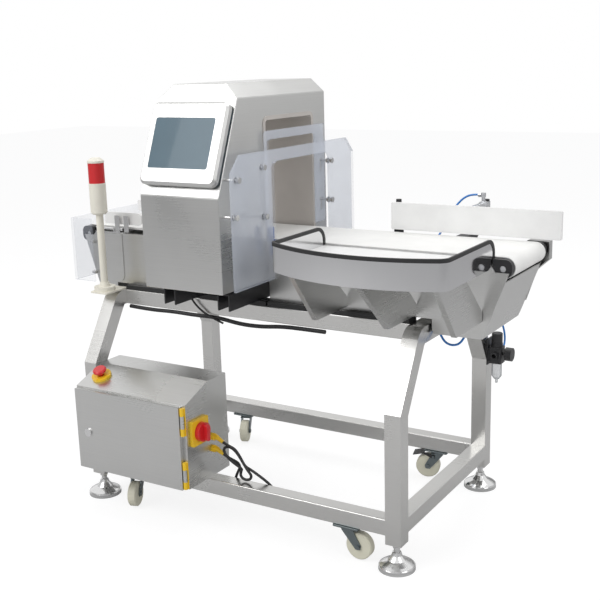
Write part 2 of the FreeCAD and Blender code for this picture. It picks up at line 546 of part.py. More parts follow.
def make_head(strips):
    roof_y = HEAD_Y0 + (HEAD_ROOF_Z - HEAD_BEND_Z) * HEAD_LEAN
    side = [(HEAD_Y0, HEAD_Z0), (HEAD_Y0, HEAD_BEND_Z), (roof_y, HEAD_ROOF_Z), (HEAD_Y1, HEAD_ROOF_Z),
            (HEAD_Y1, HEAD_Z0)]
    block = prism(side, HEAD_X0, HEAD_X1, "yz")
    for x, inward in ((HEAD_X0, 1), (HEAD_X1, -1)):
        wedge = [(x - inward, HEAD_SIDE_Z - 1), (x - inward, HEAD_ROOF_Z + 1),
                 (x + inward * (HEAD_CHAMFER + 1), HEAD_ROOF_Z + 1)]
        block = block.cut(prism(wedge, HEAD_Y0 - 1, HEAD_Y1 + 1, "xz"))
    block = block.makeChamfer(2.0, block.Edges)
    block = block.cut(tunnel(LINER_T, HEAD_X0 - 1, HEAD_X1 + 1))
    coils = []
    for x in COIL_X:
        ring = tunnel(LINER_T + 12, x - 6, x + 6).cut(tunnel(LINER_T, x - 7, x + 7))
        coils.append(ring)
        block = block.cut(ring)
    nodes["head_shell"] = block
    nodes["detection_coils"] = compound(coils)
    sleeve = tunnel(LINER_T, HEAD_X0 - 2, HEAD_X1 + 2)
    rims = [tunnel(LINER_T + 7, HEAD_X0 - 2, HEAD_X0), tunnel(LINER_T + 7, HEAD_X1, HEAD_X1 + 2)]
    nodes["tunnel_liner"] = sleeve.fuse(rims).cut(tunnel(0, HEAD_X0 - 3, HEAD_X1 + 3))

    # cross bars under the head, on the stand, with rubber mounts between
    bar_top = HEAD_Z0 - 12
    bars, mounts = [], []
    for x in (-195.0, -10.0):
        web = [(x - 20, BODY_BOTTOM), (x + 20, BODY_BOTTOM), (x + 20, bar_top), (x - 20, bar_top)]
        bar = prism(web, -300.0, RAIL_FACE_Y, "xz")
        bars.append(bar.cut(box(x - 16, x + 16, -300.0, RAIL_FACE_Y, BODY_BOTTOM - 1, bar_top - 4)))
        mounts += [rod((x, y, bar_top), (x, y, HEAD_Z0), 17.0) for y in (-280.0, -140.0, 140.0)]
    nodes["head_supports"] = compound(bars)
    nodes["rubber_mounts"] = compound(strips + mounts)


def make_display():
    """Operator panel on the leaning front of the head."""
    gasket_t, depth = 6.0, 25.0
    x0, x1, low, high = HEAD_X0 + 5, HEAD_X1 - 4, 26.0, 255.0
    housing = fillet(box(x0, x1, -depth, -gasket_t, low, high), 20.0, "y")
    front = [edge for edge in housing.Edges if abs(edge.CenterOfMass.y + depth) < 0.1]
    housing = housing.makeChamfer(7.0, front)
    window = fillet(box(HEAD_X0 + 28, HEAD_X1 - 36, -depth - 1, -depth + 3, 70.0, 210.0), 6.0, "y")
    gasket = fillet(box(x0 + 6, x1 - 6, -gasket_t, 0, low + 6, high - 6), 15.0, "y")
    panel = fillet(box(HEAD_X0 + 28, HEAD_X1 - 36, -depth + 0.5, -depth + 3, 70.0, 210.0), 6.0, "y")
    nodes["display_housing"] = on_lean(housing.cut(window))
    nodes["display_panel"] = compound([on_lean(panel), on_lean(gasket)])


# ---------------------------------------------------------------- clear guards at the tunnel
GUARD_X0, GUARD_X1 = 62.0, 70.0
BAFFLE_X0, BAFFLE_X1 = 34.0, 40.0
BAFFLE_LIFT = 25.0
GUARD_STUDS = [(-322.0, 1000.0), (-338.0, 905.0), (-200.0, 1021.0), (-197.0, 888.0), (163.0, 1004.0),
               (163.0, 887.0)]
STUD_R = 4.0


def make_tunnel_guards():
    outline = [(-350, 708), (-350, 1064 - 45), (-350 + 45, 1064), (304 - 45, 1064), (304, 1064 - 45), (304, 708),
               (155, 708), (155, 1032), (-150, 1032), (-150, 708)]
    plate = prism(outline, GUARD_X0, GUARD_X1, "yz")
    plate = fillet(plate, 22.0, "x", lambda p: abs(p.z - 1032) < 1)
    studs = []
    for y, z in GUARD_STUDS:
        plate = plate.cut(rod((GUARD_X0 - 1, y, z), (GUARD_X1 + 1, y, z), STUD_R + RUN))
        stud = rod((HEAD_X1, y, z), (GUARD_X1 + 4, y, z), STUD_R)
        knob = hexagon((GUARD_X1, y, z), (GUARD_X1 + 6, y, z), 15.0)
        nut = hexagon((GUARD_X0 - 5, y, z), (GUARD_X0, y, z), 15.0)
        studs.append(stud.fuse([knob, nut]))
    nodes["outfeed_guard"] = plate

    baffle = prism([(-142, 822), (-142, 1112), (184, 1112), (184, 822), (125, 822), (125, 1088), (-125, 1088),
                    (-125, 822)], BAFFLE_X0, BAFFLE_X1, "yz")
    baffle = fillet(baffle, 10.0, "x", lambda p: p.z > 1080)
    for _, stud_z in GUARD_STUDS[4:]:
        slot = box(BAFFLE_X0 - 1, BAFFLE_X1 + 1, 163 - 4.5, 163 + 4.5, stud_z - 5 - BAFFLE_LIFT, stud_z + 5)
        baffle = baffle.cut(slot)
    nodes["tunnel_baffle"] = baffle
    return studs


def make_sensor():
    """Product sensor that looks across the belt just past the head."""
    body = fillet(box(43, 58, -152, -138, 818, 850), 2.0, "z")
    eye = rod((50.5, -138, 840), (50.5, -135.5, 840), 4.0)
    bracket = folded([(-BODY_Y, 770.0), (-BODY_Y, 815.5), (-153.0, 815.5)], 2.5, 42, 59, "yz")
    nodes["product_sensor"] = compound([body.fuse(eye), bracket])


# ---------------------------------------------------------------- reject tray
def tray_front_y(x):
    """Where the bowed front stands at one x."""
    arc = Part.Arc(V(TRAY_X0, TRAY_LEFT_Y, 0), V(480.0, TRAY_DEEP_Y, 0), V(TRAY_X1, TRAY_RIGHT_Y, 0))
    circle = arc.toShape().Curve
    return circle.Center.y - math.sqrt(circle.Radius ** 2 - (x - circle.Center.x) ** 2)


def tray_region(inset, z0, z1, rear_y=TRAY_BACK_Y):
    """The tray's plan, moved inward by inset: two straight sides and a bowed front."""
    x0, x1 = TRAY_X0 + inset, TRAY_X1 - inset
    left, deep, right = TRAY_LEFT_Y + inset, TRAY_DEEP_Y + inset, TRAY_RIGHT_Y + inset
    edges = [Part.LineSegment(V(x0, rear_y, z0), V(x0, left, z0)).toShape(),
             Part.Arc(V(x0, left, z0), V(480.0, deep, z0), V(x1, right, z0)).toShape(),
             Part.LineSegment(V(x1, right, z0), V(x1, rear_y, z0)).toShape(),
             Part.LineSegment(V(x1, rear_y, z0), V(x0, rear_y, z0)).toShape()]
    solid = Part.Face(Part.Wire(edges)).extrude(V(0, 0, z1 - z0))
    solid = fillet(solid, 30.0 - inset, "z", lambda p: p.x > x1 - 1 and p.y < right + 1)
    return fillet(solid, 14.0 - inset, "z", lambda p: p.x < x0 + 1 and p.y < left + 1)


def tray_side(grow):
    """Side view of the tray wall: a rounded upper rear corner, notched over the conveyor side."""
    rear, top, round_r = TRAY_BACK_Y + grow, TRAY_Z1 + grow, 38.0
    front = TRAY_DEEP_Y - 20
    block = box(TRAY_X0 - 10, TRAY_X1 + 10, front, rear, TRAY_Z0, top)
    block = fillet(block, round_r + grow, "x", lambda p: p.z > top - 1 and p.y > rear - 1)
    return block.cut(box(TRAY_X0 - 10, TRAY_X1 + 10, -BODY_Y - 3.5, rear + 1, TRAY_Z0 - 1, BODY_TOP + 2))


def make_tray():
    deep = 60.0
    band = tray_region(0, TRAY_Z0, TRAY_Z1 + deep).cut(tray_region(TRAY_T, TRAY_Z0 - 1, TRAY_Z1 + deep + 1, 0))
    wall = band.common(tray_side(0))
    nodes["tray_wall"] = wall
    edge = tray_region(-1.6, TRAY_Z0, TRAY_Z1 + deep, TRAY_BACK_Y + 1.6)
    edge = edge.cut(tray_region(TRAY_T + 1.6, TRAY_Z0 - 1, TRAY_Z1 + deep + 1, 0))
    rim = edge.common(tray_side(1.6)).cut(tray_side(-8.0))
    rim = rim.cut(box(TRAY_X0 - 20, TRAY_X1 + 20, TRAY_DEEP_Y - 30, 0, TRAY_Z0 - 5, TRAY_Z0 + 24))
    nodes["tray_trim"] = rim.cut(wall)
    floor_y = -BELT_HALF - 4
    nodes["tray_floor"] = tray_region(TRAY_T, TRAY_Z0 + 16, TRAY_Z0 + 22, floor_y)
    struts = []
    wall_y = -BODY_Y - SHEET
    for x in (285.0, 490.0, 668.0):
        front_y = tray_front_y(x) + 8
        outline = [(front_y, TRAY_Z0 + 16), (front_y, TRAY_Z0), (-305.0, 648.0), (wall_y, 648.0), (wall_y, 672.0),
                   (-258.0, TRAY_Z0), (-258.0, TRAY_Z0 + 16)]
        plate = prism(outline, x - 1.5, x + 1.5, "yz")
        flange = folded([(front_y, TRAY_Z0), (-305.0, 648.0)], 3.0, x - 12.5, x + 1.5, "yz")
        foot = box(x - 14, x + 1.5, wall_y - 3, wall_y, 648.0, 672.0)
        struts.append(plate.fuse([flange, foot]))
    nodes["tray_struts"] = compound(struts)


# ---------------------------------------------------------------- swing-arm reject
PIVOT_X, PIVOT_Y, PIVOT_R = 300.0, 150.0, 8.0
LUG_X = 490.0
ROD_Z = 866.0
CYL_X, CYL_Y, CYL_R, BORE_R = 487.0, 355.0, 12.5, 10.5
BOARD_X0, BOARD_X1, BOARD_Y0, BOARD_Y1, BOARD_Z0, BOARD_Z1 = 290.0, 784.0, 120.0, 132.0, 818.0, 895.0
SWING = 30.0                # degrees, free end toward the tray
AIR_PORTS, PORT_Y = ((532.0, 662.0), (389.0, 772.0)), BODY_Y + 15.0     # hose fittings: x, z


def make_reject():
    board = fillet(box(BOARD_X0, BOARD_X1, BOARD_Y0, BOARD_Y1, BOARD_Z0, BOARD_Z1), 4.0, "y")
    hub_r = 13.0
    pieces = [board]
    pin_hole = rod((PIVOT_X, PIVOT_Y, 700), (PIVOT_X, PIVOT_Y, 1000), PIVOT_R + RUN)
    for z0 in (BOARD_Z0 + 4, BOARD_Z1 - 22):
        hub = rod((PIVOT_X, PIVOT_Y, z0), (PIVOT_X, PIVOT_Y, z0 + 18), hub_r)
        arm = box(PIVOT_X - 9, PIVOT_X + 60, BOARD_Y1, BOARD_Y1 + 6, z0, z0 + 18)
        neck = box(PIVOT_X - 9, PIVOT_X + 9, BOARD_Y1, PIVOT_Y, z0, z0 + 18)
        pieces.append(hub.fuse([arm, neck]).cut(pin_hole))
    # lug plate on the back of the board, which the rod's fork straddles
    lug_t = 4.0
    foot = box(LUG_X - 16, LUG_X + 16, BOARD_Y1, BOARD_Y1 + 4, ROD_Z - 20, ROD_Z + 20)
    tongue = box(LUG_X - 9, LUG_X + 9, BOARD_Y1, PIVOT_Y, ROD_Z - lug_t, ROD_Z + lug_t)
    tongue = tongue.fuse(rod((LUG_X, PIVOT_Y, ROD_Z - lug_t), (LUG_X, PIVOT_Y, ROD_Z + lug_t), 9.0))
    nodes["reject_board"] = compound(pieces + [foot.fuse(tongue)])

    # pivot post and cylinder bracket on the rear side of the conveyor
    base = fillet(box(PIVOT_X - 18, CYL_X + 25, 126.0, 162.0, BODY_TOP, BODY_TOP + 8), 6.0, "z")
    post = rod((PIVOT_X, PIVOT_Y, BODY_TOP + 8), (PIVOT_X, PIVOT_Y, BOARD_Z1 + 6), PIVOT_R)
    collar = rod((PIVOT_X, PIVOT_Y, BODY_TOP + 8), (PIVOT_X, PIVOT_Y, BOARD_Z0 + 3.5), 14.0)
    arm = box(CYL_X - 16, CYL_X + 16, 162.0, CYL_Y + 16, BODY_TOP, BODY_TOP + 8)
    arm = fillet(arm, 15.0, "z", lambda p: p.y > CYL_Y)
    brace = prism([(162.0, BODY_TOP), (300.0, BODY_TOP), (BODY_Y + SHEET, 690.0), (BODY_Y + SHEET, BODY_TOP)],
                  CYL_X - 3, CYL_X + 3, "yz")
    eye_z0, eye_z1 = ROD_Z - 11, ROD_Z + 11
    tower = rod((CYL_X, CYL_Y, BODY_TOP + 8), (CYL_X, CYL_Y, eye_z0 - GAP), 14.0)
    pin = rod((CYL_X, CYL_Y, eye_z0 - GAP), (CYL_X, CYL_Y, eye_z1 + 4), 5.0)
    cap = rod((CYL_X, CYL_Y, eye_z1 + GAP), (CYL_X, CYL_Y, eye_z1 + 6), 9.0)
    ports = []
    for x, z in AIR_PORTS:
        nut = hexagon((x, BODY_Y + SHEET, z), (x, BODY_Y + SHEET + 5, z), 13.0)
        ports.append(nut.fuse(rod((x, BODY_Y + SHEET + 5, z), (x, PORT_Y - 0.1, z), 5.0)))
    nodes["reject_mount"] = compound([base, arm, brace, post.fuse(collar), tower.fuse([pin, cap])] + ports)

    # air cylinder: tube, end caps and rear eye, drawn along -y and turned onto the lug
    line = math.degrees(math.atan2(LUG_X - CYL_X, CYL_Y - PIVOT_Y))
    front, rear = CYL_Y - 166, CYL_Y - 18
    tube = rod((CYL_X, front, ROD_Z), (CYL_X, rear, ROD_Z), CYL_R)
    collars = [rod((CYL_X, front, ROD_Z), (CYL_X, front + 16, ROD_Z), CYL_R + 2.5),
               rod((CYL_X, rear - 16, ROD_Z), (CYL_X, rear, ROD_Z), CYL_R + 2.5)]
    eye = rod((CYL_X, CYL_Y, eye_z0), (CYL_X, CYL_Y, eye_z1), 11.0)
    tang = box(CYL_X - 7, CYL_X + 7, rear, CYL_Y, eye_z0, eye_z1)
    body = tube.fuse(collars + [eye, tang])
    body = body.cut(rod((CYL_X, front + 8, ROD_Z), (CYL_X, rear - 6, ROD_Z), BORE_R))
    body = body.cut(rod((CYL_X, front - 1, ROD_Z), (CYL_X, front + 9, ROD_Z), 5.0 + RUN))
    body = body.cut(rod((CYL_X, CYL_Y, eye_z0 - 1), (CYL_X, CYL_Y, eye_z1 + 1), 5.0 + RUN))
    port = rod((CYL_X, rear - 8, ROD_Z + CYL_R + 2.6), (CYL_X, rear - 8, ROD_Z + CYL_R + 14), 5.5)
    port_z = ROD_Z + CYL_R + 20
    elbow = fillet(box(CYL_X - 6, CYL_X + 6, rear - 14, rear - 2, port_z - 6, port_z + 6), 2.0, "z")
    # the collet is wide enough for the hose to stay clear of it while the cylinder turns
    collet = rod((CYL_X - 6, rear - 8, port_z), (CYL_X - 15, rear - 8, port_z), 7.0, 5.6)
    at = (CYL_X, CYL_Y, 0)
    nodes["reject_cylinder"] = compound([turned(body, line, at), turned(port.fuse([elbow, collet]), line, at)])
    reach = math.hypot(CYL_Y - PIVOT_Y, LUG_X - CYL_X)
    eye_y = CYL_Y - reach
    stem = rod((CYL_X, eye_y + 26, ROD_Z), (CYL_X, CYL_Y - 40, ROD_Z), 5.0)
    piston = rod((CYL_X, CYL_Y - 42, ROD_Z), (CYL_X, CYL_Y - 32, ROD_Z), BORE_R - RUN)
    fork = fillet(box(CYL_X - 9, CYL_X + 9, eye_y - 9, eye_y + 28, ROD_Z - 9, ROD_Z + 9), 8.0, "z",
                  lambda p: p.y < eye_y)
    fork = fork.cut(box(CYL_X - 20, CYL_X + 20, eye_y - 20, eye_y + 16, ROD_Z - lug_t - 1, ROD_Z + lug_t + 1))
    nodes["cylinder_rod"] = turned(stem.fuse([piston, fork]), line, at)


# ---------------------------------------------------------------- control cabinet
HINGE_X, HINGE_Y, HINGE_R = -90.0, -408.0, 3.0
HINGES = [(143.0, 222.0), (300.0, 380.0)]
SLOPE_Y = -295.0
STOP_X, STOP_Y = -428.0, -350.0
SWITCH_Y, SWITCH_Z = -350.0, 298.0
LOCK_X, LOCK_Z = -436.0, 253.0
GLAND_Y, GLAND_ZS, GLAND_REACH, GLAND_DROOP = -284.0, (258.0, 222.0), 36.0, 11.0


def cabinet_outline(inset):
    return [(CAB_Y0 + inset, CAB_Z0 + inset), (CAB_Y0 + inset, CAB_FRONT_Z - 0.8 * inset),
            (SLOPE_Y + 0.2 * inset, CAB_TOP_Z - inset), (CAB_Y1 - inset, CAB_TOP_Z - inset),
            (CAB_Y1 - inset, CAB_Z0 + inset)]


def on_slope(shape):
    """Carry a shape drawn upright at the stop button's foot onto the sloping top."""
    rise = (CAB_TOP_Z - CAB_FRONT_Z) / (SLOPE_Y - CAB_Y0)
    shape = turned(shape, math.degrees(math.atan(rise)), (0, 0, 0), (1, 0, 0))
    shape.translate(V(STOP_X, STOP_Y, CAB_FRONT_Z + (STOP_Y - CAB_Y0) * rise))
    return shape


def glands():
    """Cable glands: hexagon, straight throat and a drooping tapered bend protector."""
    pieces = []
    for z in GLAND_ZS:
        nut = hexagon((CAB_X1, GLAND_Y, z), (CAB_X1 + 8, GLAND_Y, z), 20.0)
        throat = cone((CAB_X1 + 8, GLAND_Y, z), (CAB_X1 + 18, GLAND_Y, z), 8.5, 7.0)
        tip = (CAB_X1 + GLAND_REACH, GLAND_Y, z - GLAND_DROOP)
        pieces.append(nut.fuse([throat, cone((CAB_X1 + 14, GLAND_Y, z), tip, 7.0, 5.0)]))
    return pieces


def make_cabinet():
    shell = prism(cabinet_outline(0), CAB_X0, CAB_X1, "yz")
    shell = shell.cut(prism(cabinet_outline(CAB_SHEET), CAB_X0 + CAB_SHEET, CAB_X1 - CAB_SHEET, "yz"))
    door_x0, door_x1 = CAB_X0 + 2, HINGE_X - 6.5
    door_z0, door_z1 = CAB_Z0 - 2, CAB_FRONT_Z - 5
    mouth = fillet(box(CAB_X0 + 16, CAB_X1 - 20, CAB_Y0 - 1, CAB_Y0 + 6, CAB_Z0 + 14, CAB_FRONT_Z - 16), 8.0, "y")
    stop_hole = on_slope(rod((0, 0, -20), (0, 0, 20), 11.0))
    switch_hole = rod((CAB_X1 - 10, SWITCH_Y, SWITCH_Z), (CAB_X1 + 1, SWITCH_Y, SWITCH_Z), 8.0)
    nodes["cabinet_body"] = shell.cut(mouth).cut(stop_hole).cut(switch_hole)

    skin, deep = 1.5, 12.0
    front_y = CAB_Y0 - GAP - deep
    door = fillet(box(door_x0, door_x1, front_y, CAB_Y0 - GAP, door_z0, door_z1), 3.0, "y")
    door = door.cut(box(door_x0 + skin, door_x1 - skin, front_y + skin, CAB_Y0, door_z0 + skin, door_z1 - skin))
    door = door.cut(rod((LOCK_X, front_y - 1, LOCK_Z), (LOCK_X, CAB_Y0 - 1, LOCK_Z), 9.0 + RUN))
    knuckles, fixed = [], []
    for z0, z1 in HINGES:
        mid0, mid1 = z0 + 22, z1 - 22
        knuckle = rod((HINGE_X, HINGE_Y, mid0), (HINGE_X, HINGE_Y, mid1), 6.0)
        web = box(door_x1 - 1.5, HINGE_X, HINGE_Y - 1.5, HINGE_Y + 1.5, mid0, mid1)
        knuckles.append(knuckle.fuse(web).cut(box(door_x1 - 2, door_x1, -500, -300, 0, 500)).cut(
            rod((HINGE_X, HINGE_Y, z0), (HINGE_X, HINGE_Y, z1), HINGE_R + RUN)))
        leaf = box(HINGE_X - 4, HINGE_X + 8, HINGE_Y + 3.5, CAB_Y0, z0, z1)
        ends = [rod((HINGE_X, HINGE_Y, a), (HINGE_X, HINGE_Y, b), 6.0)
                for a, b in ((z0, mid0 - GAP), (mid1 + GAP, z1))]
        fixed.append(leaf.cut(rod((HINGE_X, HINGE_Y, mid0 - GAP), (HINGE_X, HINGE_Y, mid1 + GAP), 6.5)).fuse(
            ends + [rod((HINGE_X, HINGE_Y, z0), (HINGE_X, HINGE_Y, z1), HINGE_R)]))
    nodes["cabinet_door"] = compound([door] + knuckles)

    # quarter-turn lock: barrel through the door and a cam behind it, hanging down when open
    barrel = rod((LOCK_X, front_y - 2, LOCK_Z), (LOCK_X, CAB_Y0 + 9, LOCK_Z), 9.0)
    flange = rod((LOCK_X, front_y - 4, LOCK_Z), (LOCK_X, front_y - GAP, LOCK_Z), 12.0)
    cam = fillet(box(LOCK_X - 8, LOCK_X + 8, CAB_Y0 + 6, CAB_Y0 + 9, LOCK_Z - 36, LOCK_Z + 8), 7.0, "y")
    nodes["door_lock"] = barrel.fuse([flange, cam])

    collar = rod((0, 0, 0), (0, 0, 7), 29.0, 11.0)
    plate = fillet(box(CAB_X1, CAB_X1 + 9, SWITCH_Y - 37.5, SWITCH_Y + 37.5, SWITCH_Z - 37.5, SWITCH_Z + 37.5),
                   6.0, "x")
    plate = plate.cut(rod((CAB_X1, SWITCH_Y, SWITCH_Z), (CAB_X1 + 9, SWITCH_Y, SWITCH_Z), 6.0 + RUN))
    nodes["cabinet_fittings"] = compound(fixed + [on_slope(collar), plate] + glands())
    stem = rod((0, 0, -18), (0, 0, 13), 8.0)
    mushroom = cone((0, 0, 12), (0, 0, 20), 13.0, 20.0).fuse(rod((0, 0, 20), (0, 0, 28), 20.0)).removeSplitter()
    rim = [edge for edge in mushroom.Edges if abs(edge.CenterOfMass.z - 28) < 0.1]
    nodes["stop_button"] = on_slope(mushroom.makeChamfer(3.0, rim).fuse(stem))
    face = CAB_X1 + 9 + GAP
    knob = rod((face, SWITCH_Y, SWITCH_Z), (face + 14, SWITCH_Y, SWITCH_Z), 27.5)
    grip = fillet(box(face + 14, face + 28, SWITCH_Y - 7, SWITCH_Y + 7, SWITCH_Z - 24, SWITCH_Z + 24), 6.0, "x")
    spindle = rod((CAB_X1 - 14, SWITCH_Y, SWITCH_Z), (face, SWITCH_Y, SWITCH_Z), 6.0)
    nodes["switch_knob"] = knob.fuse([grip, spindle])

    # control gear on a mounting plate at the back of the cabinet
    plate_y = CAB_Y1 - CAB_SHEET - 8
    gear = [box(CAB_X0 + 24, CAB_X1 - 24, plate_y - 2, plate_y, 165, 405)]
    gear += [rod((x, plate_y, z), (x, CAB_Y1 - CAB_SHEET, z), 5.0)
             for x in (CAB_X0 + 34, CAB_X1 - 34) for z in (175, 395)]
    gear += [box(CAB_X0 + 40, CAB_X1 - 40, plate_y - 9, plate_y - 2, z, z + 35) for z in (200, 320)]
    for x0, x1, y_deep, z0, z1 in ((-430, -350, 95, 185, 250), (-340, -250, 75, 190, 245), (-240, -150, 40, 195, 240),
                                   (-430, -380, 70, 300, 375), (-372, -322, 70, 300, 375), (-310, -150, 45, 312, 362)):
        gear.append(box(x0, x1, plate_y - 9 - y_deep, plate_y - 9, z0, z1))
    nodes["control_gear"] = compound(gear)


# ---------------------------------------------------------------- signal tower and air service
TOWER_X, TOWER_Y = -517.0, -213.0


def make_tower():
    plate = fillet(box(TOWER_X - 30, -LEG_X + HALF, TOWER_Y - 34, -150.0, STAND_TOP, STAND_TOP + 5), 6.0, "z")
    foot_z = STAND_TOP + 5

    def ring(z0, z1, radius):
        return rod((TOWER_X, TOWER_Y, z0), (TOWER_X, TOWER_Y, z1), radius)
    foot = ring(foot_z, foot_z + 13, 32.0)
    socket = cone((TOWER_X, TOWER_Y, foot_z + 13), (TOWER_X, TOWER_Y, foot_z + 26), 17.0, 13.0)
    mast = foot.fuse([socket, ring(foot_z + 13, 865, 11.0)])
    body = ring(865, 958, 25.0)
    bottom = [edge for edge in body.Edges if abs(edge.CenterOfMass.z - 865) < 0.1]
    cap = ring(1018, 1024, 25.0).fuse(cone((TOWER_X, TOWER_Y, 1024), (TOWER_X, TOWER_Y, 1033), 25.0, 14.0))
    nodes["tower_mast"] = compound([plate, mast, body.makeChamfer(5.0, bottom[:1]), cap])
    nodes["tower_lens"] = ring(958, 1018, 24.0)


REG_X, REG_Y = 552.0, 290.0


def make_regulator():
    """Filter regulator on the rear outfeed leg: knob on top, bowl below, gauge on its face."""
    def ring(z0, z1, radius):
        return rod((REG_X, REG_Y, z0), (REG_X, REG_Y, z1), radius)
    body = fillet(box(REG_X - 19, REG_X + 19, REG_Y - 19, REG_Y + 19, 407, 456), 5.0, "z")
    inlet = rod((REG_X, REG_Y - 27, 432), (REG_X, REG_Y - 5, 432), 11.0)
    air_way = rod((REG_X, REG_Y - 27, 432), (REG_X, REG_Y - 12, 432), 6.6)
    outlet = rod((REG_X, REG_Y + 5, 432), (REG_X, REG_Y + 26, 432), 9.0)
    body = body.fuse([inlet, outlet, ring(456, 467, 17.0)]).cut(air_way).cut(ring(440, 468, 9.0 + RUN))
    bowl = ring(366, 407, 15.0)
    nodes["regulator_bowl"] = bowl.fuse(cone((REG_X, REG_Y, 366), (REG_X, REG_Y, 356), 15.0, 8.0)).fuse(
        ring(344, 356, 4.0))
    grip = ring(467 + GAP, 498, 16.0)
    rim = [edge for edge in grip.Edges if abs(edge.CenterOfMass.z - 498) < 0.1]
    nodes["regulator_knob"] = grip.makeChamfer(2.0, rim).fuse(ring(445, 468, 9.0))
    stem = rod((REG_X + 19, REG_Y, 436), (REG_X + 28, REG_Y, 436), 5.0)
    dial = rod((REG_X + 28, REG_Y, 436), (REG_X + 48, REG_Y, 436), 20.0)
    leg_face = LEG_X + HALF
    back = box(leg_face, leg_face + 3, REG_Y - 17, REG_Y + 20, 400, 480)
    ledge = box(leg_face + 3, REG_X - 19, REG_Y - 15, REG_Y + 15, 412, 450)
    nodes["regulator_body"] = compound([body, stem.fuse(dial), back.fuse(ledge)])


# ---------------------------------------------------------------- cables and hoses
CABLE_R, HARNESS_R, HOSE_R, BRANCH_R = 4.0, 6.0, 3.0, 3.0
HARNESS_Z = STAND_TOP - TUBE - HARNESS_R - 2
HARNESS_Y = -RAIL_FACE_Y + 6


def make_cables():
    """Tied harness under the front rail, the cabinet's cables and the air hoses."""
    y, z = HARNESS_Y, HARNESS_Z
    harness = [(-470, y, z), (-391, y + 1, z - 4), (-305, y, z), (-220, y + 2, z - 3), (-140, y, z),
               (-62, y + 2, z - 12), (12, y, z - 11), (82, y + 3, z - 3), (150, y, z - 1), (222, y + 2, z - 2)]
    branch = [(-229, -158, 697), (-230, -165, 672), (-229, -171, 646), (-215, -172, 618), (-186, -171, 592),
              (-150, -166, 572), (-118, -158, 558)]
    nodes["cable_harness"] = compound([cord(harness, HARNESS_R), cord(branch, BRANCH_R)])

    # supply lead and second cable: out of the glands into a tied hank, and out of it behind the rail
    tip_x = CAB_X1 + GLAND_REACH + 0.4
    upper, lower = [z - GLAND_DROOP - 0.2 for z in GLAND_ZS]
    lead = [(tip_x, GLAND_Y, upper), (-31, -284, 239.5), (-18, -285, 226), (-8, -287, 209)]
    second = [(tip_x, GLAND_Y, lower), (-31, -284, 204), (-17, -285, 195), (-4, -286, 184)]
    lead_tail = [(22, -285, 188), (40, -283, 178), (60, -279, 166), (78, -273, 154), (93, -264, 140),
                 (101, -256, 124), (104, -252, 106)]
    second_tail = [(0, -281, 196), (-8, -272, 180), (-17, -265, 162), (-25, -261, 143), (-29, -259, 122),
                   (-30, -258, 104)]
    runs = (lead, second, lead_tail, second_tail)
    nodes["cabinet_cables"] = compound([cord(run, CABLE_R) for run in runs])
    hank_line = [(-34, -284, 236, 9), (-18, -285, 222, 18), (0, -286, 207, 21), (14, -287, 190, 16),
                 (24, -287, 178, 9), (32, -284, 164, 13), (36, -281, 149, 19)]
    centres = [V(a, b, c) for a, b, c, _ in hank_line]
    rings = []
    for index, centre in enumerate(centres):
        ahead = centres[min(index + 1, len(centres) - 1)] - centres[max(index - 1, 0)]
        rings.append(ring_wire(centre, ahead, hank_line[index][3]))
    nodes["cable_hank"] = Part.makeLoft(rings, True, True)

    # drain loop under the outfeed body, supply from the regulator, feed to the reject cylinder
    loop = [(536, -100, SUMP_Z - 1.5), (546, -100, 573), (572, -100, 562), (599, -99, 573),
            (609, -98, SUMP_Z - 1.5)]
    supply_x, supply_z = AIR_PORTS[0]
    supply = [(REG_X, REG_Y + 26.8, 432), (REG_X, 346, 436), (550, 364, 460), (547, 360, 492), (544, 338, 526),
              (541, 304, 560), (538, 266, 590), (535, 232, 624), (533, 196, 650), (supply_x, PORT_Y + 1, supply_z)]
    feed_x, feed_z = AIR_PORTS[1]
    feed = [(478, 329.5, 898.5), (455, 328.5, 899), (432, 324, 891), (413, 316, 872), (400, 304, 848),
            (393, 287, 824), (390, 262, 803), (389, 230, 787), (389, 196, 777), (feed_x, PORT_Y + 0.5, feed_z)]
    nodes["air_hoses"] = compound([cord(run, HOSE_R) for run in (loop, supply, feed)])


# ---------------------------------------------------------------- build and export
def build():
    make_stand()
    make_feet()
    make_casters()
    rubber_strips = make_conveyor_body()
    make_belt()
    take_up = make_rollers()
    make_drive()
    brackets = make_infeed_fittings()
    make_head(rubber_strips)
    make_display()
    studs = make_tunnel_guards()
    nodes["guard_hardware"] = compound(take_up + brackets + studs)
    make_sensor()
    make_tray()
    make_reject()
    make_cabinet()
    make_tower()
    make_regulator()
    make_cables()


CORDS = ("cable_harness", "cabinet_cables", "cable_hank", "air_hoses")


def origin_shift():
    """From the stand's middle to the bottom centre of everything but the free cords."""
    whole = FreeCAD.BoundBox()
    for name, shape in nodes.items():
        if name not in CORDS:
            whole.add(shape.optimalBoundingBox(False, False))
    return V(-(whole.XMin + whole.XMax) / 2, -(whole.YMin + whole.YMax) / 2, 0)


build()
shift = origin_shift()
os.makedirs("parts", exist_ok=True)
for name, shape in nodes.items():
    moved = shape.copy()
    moved.translate(shift)
    moved.exportStep("parts/%s.step" % name)
print("origin shift %.3f %.3f %.3f" % tuple(shift))
print("%d nodes" % len(nodes))
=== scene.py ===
# %% [markdown]
# # A conveyor metal detector
# The machine is a steel stand on feet and casters, a belt conveyor, a tall detector head round
# the belt, a swing-arm reject with a curved tray, a control cabinet and a signal tower.  The
# solids come from the frame; this file gives them their finishes and lays the cables and hoses.

# %% Load the frame
import math

import bmesh
import bpy
from mathutils import Matrix, Vector


